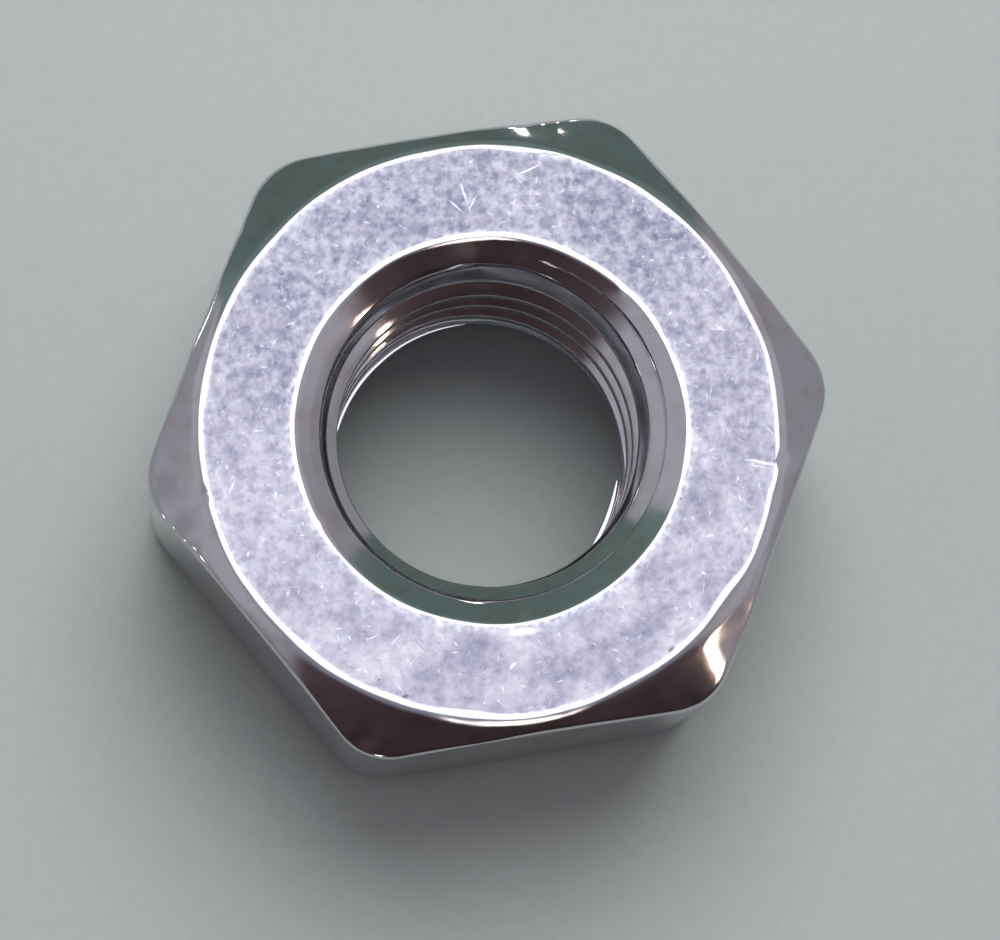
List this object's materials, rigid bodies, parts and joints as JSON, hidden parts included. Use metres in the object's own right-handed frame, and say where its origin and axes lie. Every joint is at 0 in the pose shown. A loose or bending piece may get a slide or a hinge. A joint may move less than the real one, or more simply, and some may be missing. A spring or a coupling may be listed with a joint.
{
  "type": "hex nut",
  "caption": "Plain hexagon nut in bright zinc-plated steel, with a coarse metric right-hand thread, countersunk both ends and chamfered at its corners.",
  "frame": {"origin": "centre of the lower bearing face, on the thread axis", "axes": "+Z along the thread axis, +X through a corner of the hexagon, +Y square to a wrench flat"},
  "size_m": [0.019, 0.017, 0.008],
  "materials": {
    "zinc_plated_steel": "bright zinc plate with a clear bluish passivate, mottled and lightly scratched on the bearing faces"
  },
  "bodies": {
    "root": {"hex_nut": "zinc_plated_steel"}
  },
  "joints": []
}
